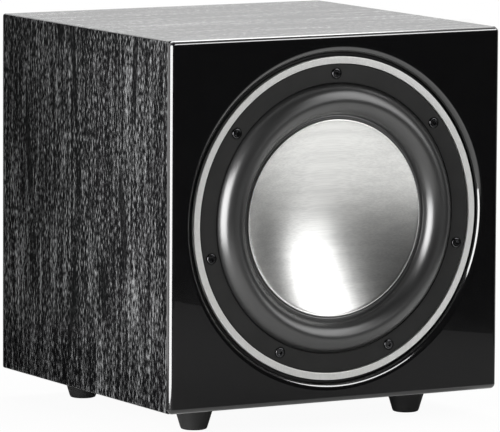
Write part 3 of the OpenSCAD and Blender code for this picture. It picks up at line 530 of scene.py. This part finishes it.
def makeGlossFront():
    # a lacquered block with rounded edges and a round opening, whose lip is rolled in
    size = {"edge": 4.0, "lip": 6.0, "opening": 131.0, "steps": 320,
            "face": 0.02}    # square metres, which only the two big faces pass
    lip = Outline((size["opening"], panelThick)).arc((size["opening"] + size["lip"], panelThick), 90, 16)
    mesh = lip.turned(size["steps"], closed=False)
    lipEdges = [e for e in mesh.edges if e.is_boundary]
    frontLoop = [e for e in lipEdges if same(e.verts[0].co.y, frontY)]
    backLoop = [e for e in lipEdges if e not in frontLoop]
    low = Vector((frontLow.x, frontY, frontLow.z))
    middle = (low + frontHigh) / 2
    spread = Matrix.Diagonal((*(frontHigh - low), 1))
    made = bmesh.ops.create_cube(mesh, size=1.0, matrix=Matrix.Translation(middle) @ spread)
    block = set(made["verts"])
    backEdges = edgesAt(mesh, 1, frontHigh.y)
    rounded(mesh, [e for e in mesh.edges if set(e.verts) <= block and e not in backEdges], size["edge"], 10)
    for y, loop in ((frontY, frontLoop), (frontHigh.y, backLoop)):
        panel = [f for f in mesh.faces if len(f.verts) > 3 and all(same(v.co.y, y) for v in f.verts)
                 and f.calc_area() > size["face"]]
        rim = [e for f in panel for e in f.edges]
        bmesh.ops.delete(mesh, geom=panel, context="FACES_ONLY")
        bmesh.ops.triangle_fill(mesh, use_beauty=True, use_dissolve=False, edges=rim + loop)
    return asPiece(mesh, "glossFront", "cabinet", "front_baffle", "gloss_lacquer", smooth=30, weighted=True)


def blendRound(piece, inner, outer):
    # the ring bends between the moving middle and the fixed rim, by distance from the axis
    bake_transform(piece, "diaphragm", "cabinet", start=tuple(axis + Vector((inner * mm, 0, 0))),
             end=tuple(axis + Vector((outer * mm, 0, 0))))
    weights = piece.data.attributes["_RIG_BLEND"].data
    for vertex, weight in zip(piece.data.vertices, weights):
        part = min(1.0, max(0.0, (fromAxis(vertex.co) - inner) / (outer - inner)))
        weight.value = part * part * (3 - 2 * part)


def makeSurround():
    size = {"middle": 94.5, "depth": 6.5, "radius": 12.69, "wall": 1.4, "steps": 288}
    mid, deep, big, wall = size["middle"], size["depth"], size["radius"], size["wall"]
    small = big - wall
    foot = math.degrees(math.asin(1.5 / big))
    start = mid + big * math.cos(math.radians(foot))
    outline = Outline((start + 3.0, 5.0), (start + 3.0, 4.0), (start + 0.7, 4.0))
    outline.line((start + 0.2, 4.15), (start, 4.6))
    rise = math.radians(foot + 3)
    outline.line((mid + big * math.cos(rise), deep - big * math.sin(rise)))
    outline.arc((mid, deep), -(180 - 2 * foot - 6), 60)
    inner = mid - big * math.cos(math.radians(foot))
    outline.line((inner, 4.5), (inner - 0.9, 4.35), (inner - 1.9, 4.35), (inner - 2.7, 4.6),
                 (inner - 2.9, 5.0), (inner - 2.9, 5.7), (inner + 1.2, 5.7))
    slack = math.degrees(math.asin(1.5 / small))
    outline.line((mid - small * math.cos(math.radians(slack)), 5.0))
    outline.arc((mid, deep), 180 - 2 * slack, 48)
    piece = asPiece(outline.turned(size["steps"]), "rubberSurround", "diaphragm", "surround",
                    "surround_rubber", smooth=50)
    piece.parent = None
    blendRound(piece, mid - big, mid + big)
    return piece


def makeDish():
    size = {"rim": 78.6, "bead": 1.7, "depth": 18.0, "wall": 1.0, "face": 4.3, "steps": 320, "behind": 2.0}
    shell = size["rim"] - size["bead"]
    ball = (shell ** 2 + size["depth"] ** 2) / (2 * size["depth"])
    sweep = math.degrees(math.asin(shell / ball))
    bottom = size["face"] + size["depth"]
    outline = Outline((0, bottom)).arc((0, bottom - ball), -sweep, 48)
    outline.line((shell + 0.05, size["face"] - 0.05)).arc((shell + 0.85, size["face"] + 0.45), 150, 12)
    outline.line((size["rim"], size["face"] + 0.8), (size["rim"], 5.7), (shell, 5.7))
    back = ball + size["wall"]
    turn = math.asin((shell - 0.6) / back)
    outline.line((shell - 0.6, bottom - ball + back * math.cos(turn)))
    outline.arc((0, bottom - ball), math.degrees(turn), 32)
    piece = asPiece(outline.turned(size["steps"]), "brushedDish", "diaphragm", "dish", "dish_aluminium",
                    smooth=50)
    # the texture space lies well behind the dish, so that its brush lines all run level
    piece.data.use_auto_texspace = False
    piece.data.texspace_location = axis + Vector((0, size["behind"], 0))
    piece.data.texspace_size = (0.1, 0.1, 0.1)
    return piece


def makeTrimRing():
    size = {"outer": 128.5, "wide": 5.7, "front": 1.6, "back": 5.0, "edge": 0.6, "steps": 320}
    inner = size["outer"] - size["wide"]
    outline = Outline((inner, size["back"]), (inner, size["front"]), (size["outer"], size["front"]),
                      (size["outer"], size["back"]))
    mesh = outline.turned(size["steps"])
    flat = edgesAt(mesh, 1, frontY + size["front"] * mm)
    loops = [e for e in flat if abs(fromAxis(e.verts[0].co) - fromAxis(e.verts[1].co)) < 0.01]
    rounded(mesh, loops, size["edge"], 4)
    return asPiece(mesh, "trimRing", "cabinet", "trim_ring", "satin_aluminium", smooth=50, weighted=True)


def mergedCopy(name):
    # the part's own shape as a clean bmesh
    mesh = bmesh.new()
    mesh.from_mesh(nodes[name].data)
    bmesh.ops.remove_doubles(mesh, verts=mesh.verts, dist=weldGap)
    bmesh.ops.dissolve_limit(mesh, angle_limit=math.radians(0.5), verts=mesh.verts, edges=mesh.edges)
    return mesh


def fromAxis(place):
    return math.hypot(place.x - axis.x, place.z - axis.z) / mm


def makeDriverScrews():
    # black socket screws, their rims and sockets broken by small rounds
    size = {"rim": 0.5, "socket": 0.25, "step": 0.6}    # step parts short rim edges from socket edges
    mesh = mergedCopy("driver_screws")
    headY = min(v.co.y for v in mesh.verts)
    top = [f for f in mesh.faces if all(same(v.co.y, headY) for v in f.verts)]
    onTop = {e for f in top for e in f.edges if any(g not in top for g in e.link_faces)}
    rims = [e for e in onTop if e.calc_length() < size["step"] * mm]
    sockets = [e for e in onTop if e.calc_length() > size["step"] * mm]
    rounded(mesh, rims, size["rim"], 4)
    rounded(mesh, [e for e in sockets if e.is_valid], size["socket"], 2)
    return asPiece(mesh, "socketScrews", "cabinet", "driver_screws", "screw_black",
                   smooth=30, weighted=True)


def makeClampRing():
    # the pits round the screws get a small chamfer
    size = {"chamfer": 0.35, "step": 0.6}
    mesh = mergedCopy("clamp_ring")
    front = min(v.co.y for v in mesh.verts)
    pits = [e for e in edgesAt(mesh, 1, front) if len(e.link_faces) == 2 and
            e.calc_length() < size["step"] * mm]
    rounded(mesh, pits, size["chamfer"], 2)
    return asPiece(mesh, "clampRing", "cabinet", "clamp_ring", "clamp_black", smooth=30, weighted=True)


def makeDamper():
    # corrugated cloth, one half round to each fold, from the voice coil out to its seat
    size = {"neck": 25.95, "edge": 66.0, "seat": 74.0, "depth": 55.4, "thick": 0.8, "folds": 6,
            "steps": 144}
    half = (size["edge"] - size["neck"]) / (2 * size["folds"])
    big, small = half / 2 + size["thick"] / 2, half / 2 - size["thick"] / 2
    middles = [size["neck"] + half * (i + 0.5) for i in range(2 * size["folds"])]
    front, back = size["depth"] - size["thick"] / 2, size["depth"] + size["thick"] / 2
    outline = Outline((size["neck"], front), (middles[0] - big * 0.98, front))
    for i, middle in enumerate(middles):
        reach = big if i % 2 == 0 else small
        if i == 0:
            outline.line((middle - reach, size["depth"]))
        outline.arc((middle, size["depth"]), 180 if i % 2 == 0 else -180, 8)
    outline.line((size["edge"] + 2.2, front), (size["seat"], front), (size["seat"], back),
                 (size["edge"] + 1.2, back))
    outline.line((middles[-1] + big, size["depth"]))
    for i, middle in reversed(list(enumerate(middles))):
        outline.arc((middle, size["depth"]), -180 if i % 2 == 0 else 180, 8)
    piece = asPiece(outline.turned(size["steps"]), "clothDamper", "diaphragm", "spider", "damper_cloth",
                    smooth=60)
    piece.parent = None
    blendRound(piece, size["neck"] + 1, size["edge"])
    return piece


def makeTinselLeads():
    # the braids start on the moving cone and end on the still basket
    size = {"moving": 3.0, "fixed": 14.0}
    mesh = mergedCopy("tinsel_leads")
    near, far = (pick(fromAxis(v.co) for v in mesh.verts) for pick in (min, max))
    piece = softened(asPiece(mesh, "tinselLeads", "diaphragm", "tinsel_leads", slotOf["tinsel_leads"],
                             smooth=60))
    piece.parent = None
    blendRound(piece, near + size["moving"], far - size["fixed"])
    return piece


def makeSpeakerLead():
    return softened(asPiece(mergedCopy("speaker_lead"), "speakerLead", "cabinet", "speaker_lead",
                            slotOf["speaker_lead"], smooth=60))


def makeAmpPlate():
    # the back plate with its outer edge broken
    size = {"edge": 0.9, "border": 1.5}
    mesh = mergedCopy("amp_plate")
    low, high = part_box("amp_plate")
    border = size["border"] * mm

    def atBorder(spot):
        return min(spot.x - low.x, high.x - spot.x, spot.z - low.z, high.z - spot.z) < border

    rim = [e for e in edgesAt(mesh, 1, high.y) if all(atBorder(v.co) for v in e.verts) and
           any(abs(f.normal.y) < 0.5 for f in e.link_faces)]
    rounded(mesh, rim, size["edge"], 3)
    return asPiece(mesh, "ampPlate", "cabinet", "amp_plate", slotOf["amp_plate"], smooth=30, weighted=True)


def makeHeatSink():
    # extruded fins with their tips and ends broken
    size = {"edge": 0.45}
    mesh = mergedCopy("heat_sink")
    rounded(mesh, edgesAt(mesh, 1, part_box("heat_sink")[1].y), size["edge"], 3)
    return asPiece(mesh, "heatSink", "cabinet", "heat_sink", slotOf["heat_sink"], smooth=30, weighted=True)


def makeKnob(body, node, name):
    # the fluted knob with a domed shoulder; the pointer groove is filled with paint
    size = {"shoulder": 1.0, "rim": 7.8, "step": 1.2, "line": (0.9, 5.6, 0.35), "groove": 0.6,
            "inset": 0.3, "lineEdge": 0.1}
    mesh = mergedCopy(node)
    low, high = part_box(node)
    middle = (low + high) / 2

    def onRim(spot):
        return math.hypot(spot.x - middle.x, spot.z - middle.z) > size["rim"] * mm

    shoulder = [e for e in edgesAt(mesh, 1, high.y) if all(onRim(v.co) for v in e.verts) and
                sum(abs(part) for part in e.verts[0].co - e.verts[1].co) < size["step"] * mm]
    rounded(mesh, shoulder, size["shoulder"], 3)
    knob = asPiece(mesh, name, body, node, slotOf[node], smooth=35, weighted=True)
    line = bmesh.new()
    wide, long, deep = (v * mm for v in size["line"])
    bmesh.ops.create_cube(line, size=1.0)
    bmesh.ops.scale(line, vec=(wide, deep, long), verts=line.verts)
    place = (middle.x, high.y - size["groove"] * mm + deep / 2, high.z - size["inset"] * mm - long / 2)
    bmesh.ops.translate(line, vec=place, verts=line.verts)
    rounded(line, line.edges[:], size["lineEdge"], 2)
    asPiece(line, name + "Pointer", body, None, "lever_white", smooth=30)
    return knob


def makeDials():
    # printed marks round the two controls, one long mark at each end and in the middle
    size = {"marks": 11, "sweep": 300.0, "start": 11.6, "short": 1.6, "long": 2.6, "wide": 0.5,
            "thick": 0.12, "edge": 0.04}
    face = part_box("amp_plate")[1].y
    mesh = bmesh.new()
    for node in ("level_knob", "crossover_knob"):
        low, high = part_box(node)
        middle = Vector(((low.x + high.x) / 2, face, (low.z + high.z) / 2))
        for i in range(size["marks"]):
            reach = size["long"] if i % 5 == 0 else size["short"]
            made = bmesh.ops.create_cube(mesh, size=1.0)["verts"]
            bmesh.ops.scale(mesh, vec=(size["wide"] * mm, 2 * size["thick"] * mm, reach * mm), verts=made)
            bmesh.ops.translate(mesh, vec=(0, 0, (size["start"] + reach / 2) * mm), verts=made)
            turn = math.radians(size["sweep"] * (i / (size["marks"] - 1) - 0.5))
            bmesh.ops.rotate(mesh, cent=(0, 0, 0), matrix=Matrix.Rotation(turn, 3, "Y"), verts=made)
            bmesh.ops.translate(mesh, vec=middle, verts=made)
    rounded(mesh, mesh.edges[:], size["edge"], 1)
    return asPiece(mesh, "dialMarks", "cabinet", None, "lever_white", smooth=30)


def makeFeet():
    size = {"edge": 0.3}
    mesh = mergedCopy("feet")
    rounded(mesh, edgesAt(mesh, 2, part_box("feet")[0].z), size["edge"], 2)
    return asPiece(mesh, "rubberFeet", "cabinet", "feet", slotOf["feet"], smooth=35, weighted=True)


def makePad(name, low, high, thin, wallSide):
    # a stuffed pad, flat where it lies on the case and crowned on its free side
    look = {"cuts": 26, "rim": 0.42, "lump": 0.10, "lumps": 28, "pull": 0.03, "fill": 0.55}
    mesh = bmesh.new()
    bmesh.ops.create_cube(mesh, size=2.0)
    bmesh.ops.subdivide_edges(mesh, edges=mesh.edges, cuts=look["cuts"], use_grid_fill=True)
    wide = [i for i in range(3) if i != thin]
    middle, reach = (Vector(low) + Vector(high)) / 2, (Vector(high) - Vector(low)) / 2
    for vertex in mesh.verts:
        spot = vertex.co.copy()
        u, v = (abs(spot[i]) for i in wide)
        full = max(0.0, 1 - max(u, v) ** 5) ** 0.5 * max(0.0, 1 - (u * v) ** 4) ** 0.5
        lumps = noise.noise(Vector([spot[i] * reach[i] for i in range(3)]) * look["lumps"])
        crown = look["rim"] + (1 - look["rim"] - look["lump"]) * full + look["lump"] * lumps * full
        depth = (1 + spot[thin] * wallSide) / 2    # 1 on the wall
        pull = 1 - look["pull"] * (1 - full) * (1 - min(u, v) ** 2)
        for i in wide:
            spot[i] *= pull
        spot[thin] = wallSide * (1 - 2 * (1 - depth) * crown)
        vertex.co = middle + Vector([spot[i] * reach[i] for i in range(3)])
    bmesh.ops.smooth_vert(mesh, verts=mesh.verts, factor=0.5, use_axis_x=thin == 0, use_axis_y=False,
                          use_axis_z=thin == 2)
    piece = asPiece(mesh, name, "cabinet", "damping_pads", "wadding", smooth=80)
    return piece


def makePads():
    size = {"thick": 20.0, "topInset": 35.7}
    low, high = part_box("damping_pads")
    thick, inset = size["thick"] * mm, size["topInset"] * mm
    sideTop = 2 * axis.z - low.z
    for side, wall in (("Left", -1), ("Right", 1)):
        x = low.x if wall < 0 else high.x - thick
        makePad("pad" + side, (x, low.y, low.z), (x + thick, high.y, sideTop), 0, wall)
    makePad("padTop", (low.x + inset, low.y, high.z - thick), (high.x - inset, high.y, high.z), 2, 1)


makeGlossFront()
makeSurround()
makeDish()
makeTrimRing()
makeDriverScrews()
makeClampRing()
print("driver front made")
makeDamper()
makeTinselLeads()
makeSpeakerLead()
makePads()
print("inside made")
makeAmpPlate()
makeHeatSink()
makeKnob("level_control", "level_knob", "levelKnob")
makeKnob("crossover_control", "crossover_knob", "crossoverKnob")
makeDials()
makeFeet()
print("back and feet made")


# studio

def makeCamera():
    view = {"place": (-2.2745, -3.9958, 0.7144), "turn": -29.72, "down": 6.95, "roll": 0.32, "lens": 410.87}
    side, fall, roll = (math.radians(view[k]) for k in ("turn", "down", "roll"))
    back = Vector((math.sin(side) * math.cos(fall), -math.cos(side) * math.cos(fall), math.sin(fall)))
    right = Vector((math.cos(side), math.sin(side), 0))
    up = back.cross(right)
    level = right * math.cos(roll) + up * math.sin(roll)
    upright = up * math.cos(roll) - right * math.sin(roll)
    data = bpy.data.cameras.new("camera")
    data.lens = view["lens"]
    data.sensor_width = 36
    data.clip_end = 50
    camera = bpy.data.objects.new("camera", data)
    scene.collection.objects.link(camera)
    turned = Matrix((level, upright, back)).transposed().to_4x4()
    camera.matrix_world = Matrix.Translation(view["place"]) @ turned
    scene.camera = camera


def makeSoftbox(name, place, target, width, height, glow):
    # glow is how bright its face looks, where 1 is white
    data = bpy.data.lights.new(name, "AREA")
    data.shape = "RECTANGLE"
    data.size, data.size_y = width, height
    data.energy = glow * math.pi * width * height
    lamp = bpy.data.objects.new(name, data)
    scene.collection.objects.link(lamp)
    aim = Vector(target) - Vector(place)
    lamp.matrix_world = Matrix.Translation(place) @ aim.to_track_quat("-Z", "Y").to_matrix().to_4x4()
    lamp.visible_camera = False
    return lamp


def around(degrees, distance, height):
    # a place round the object; 0 is in front, 90 to the right
    turn = math.radians(degrees)
    return (math.sin(turn) * distance, -math.cos(turn) * distance, height)


def choose(lamp, state, *names):
    # the lamp passes these parts by, or lights only them
    group = bpy.data.collections.new(lamp.name + "Choice")
    for name in names:
        group.objects.link(bpy.data.objects[name] if name in bpy.data.objects else nodes[name])
    lamp.light_linking.receiver_collection = group
    for entry in group.collection_objects:
        entry.light_linking.link_state = state


def makeLights():
    # where each lamp stands, what it faces, its width, height and glow
    lamps = {
        "leftPanel": (around(-68, 1.7, 0.30), (0, 0, 0.30), 1.60, 1.30, 12.0),
        "keyPanel": (around(37.5, 2.0, 1.05), (0, -0.15, axis.z), 1.00, 1.70, 3.6),
        "lipStrip": (around(40, 1.05, 1.15), tuple(axis), 1.60, 0.34, 10.0),
        "backTop": ((0.5, 1.3, 1.7), (0, 0, axis.z), 1.40, 0.50, 10.0),
    }
    made = {name: makeSoftbox(name, *lamp) for name, lamp in lamps.items()}
    choose(made["leftPanel"], "EXCLUDE", "top_panel", "brushedDish", "trimRing")
    choose(made["keyPanel"], "EXCLUDE", "top_panel", "glossFront")
    choose(made["lipStrip"], "INCLUDE", "glossFront")


def flatSheet(wide, long):
    # one level face round the middle
    mesh = bmesh.new()
    bmesh.ops.create_grid(mesh, x_segments=1, y_segments=1, size=0.5)
    bmesh.ops.scale(mesh, vec=(wide, long, 1), verts=mesh.verts)
    return mesh


def asStage(mesh, name, finish):
    # bmesh to a thing of the studio
    data = bpy.data.meshes.new(name)
    mesh.to_mesh(data)
    mesh.free()
    data.materials.append(finish)
    piece = bpy.data.objects.new(name, data)
    scene.collection.objects.link(piece)
    return piece


def makeFlag():
    # a dark card close to the left side, which keeps some of the left lamp off its rear
    size = {"high": 0.9, "wide": 0.5, "place": (-0.35, 0.215, 0.46)}
    mesh = flatSheet(size["high"], size["wide"])
    upright = Matrix.Rotation(math.radians(90), 3, "Y")
    bmesh.ops.rotate(mesh, cent=(0, 0, 0), matrix=upright, verts=mesh.verts)
    bmesh.ops.translate(mesh, vec=size["place"], verts=mesh.verts)
    flag = asStage(mesh, "flag", finishes["foam_black"])
    flag.visible_camera = False
    flag.visible_glossy = False


def makeWorld():
    # white to the eye and behind the object, dim on the camera's side, pale again far below
    light = {"back": (-0.35, 0.25, 0.02, 1.0), "below": (-0.20, -0.45, 0.0, 0.85)}
    world = bpy.data.worlds.new("studio")
    scene.world = world
    sky = Paint("studio", {"Color": (1, 1, 1)}, world)
    back = sky.ramp(sky.reach("y", "Generated"), *light["back"])
    below = sky.ramp(sky.reach("z", "Generated"), *light["below"])
    seen = {0: sky.ray("Camera"), 2: back.maths("MAXIMUM", back, below), 3: 1.0}
    sky.feed(Strength=sky.node("ShaderNodeMix", None, seen))


def makeFloor():
    # the pale sheet ends close by on the left, and on a slant in front, so that the gloss front
    # mirrors it only low down; a glancing mirrored ray sees it dimmed, the eye sees it almost white
    size = {"front": 0.90, "back": 3.0, "side": 2.2, "left": 0.35, "slant": (0.90, -0.43, 0),
            "slantAt": (0.25, 0.69)}
    look = {"pale": (0.88, 0.88, 0.87), "dimmed": (0.15, 0.15, 0.15), "glancing": (0.66, 0.86),
            "white": 0.95}
    mesh = flatSheet(2 * size["side"], size["front"] + size["back"])
    bmesh.ops.translate(mesh, vec=(0, (size["back"] - size["front"]) / 2, 0), verts=mesh.verts)
    across, ahead = size["slantAt"]
    for place, way in (((across, frontY - ahead, 0), size["slant"]), ((-size["left"], 0, 0), (-1, 0, 0))):
        bmesh.ops.bisect_plane(mesh, geom=mesh.verts[:] + mesh.edges[:] + mesh.faces[:],
                               plane_co=place, plane_no=way, clear_outer=True)
    paint = Paint("paleFloor", {"Roughness": 0.9, "Specular IOR Level": 0.0})
    slope = paint.node("ShaderNodeLayerWeight", None, {"Blend": 0.5}, "Facing").band(*look["glancing"])
    paint.feed(Base_Color=paint.mix(paint.ray("Glossy") * slope, look["pale"], look["dimmed"]))
    shaded = Wire(paint, paint.shader.outputs[0])
    glow = paint.node("ShaderNodeEmission", None, {"Strength": 1.0})
    share = paint.ray("Camera") * look["white"]
    blend = paint.node("ShaderNodeMixShader", None, {0: share, 1: shaded, 2: glow})
    paint.join(blend, paint.tree.nodes["Material Output"].inputs["Surface"])
    asStage(mesh, "floor", paint.material)


makeCamera()
makeLights()
makeFlag()
makeWorld()
makeFloor()
scene.view_settings.view_transform = "Standard"
print("studio made")
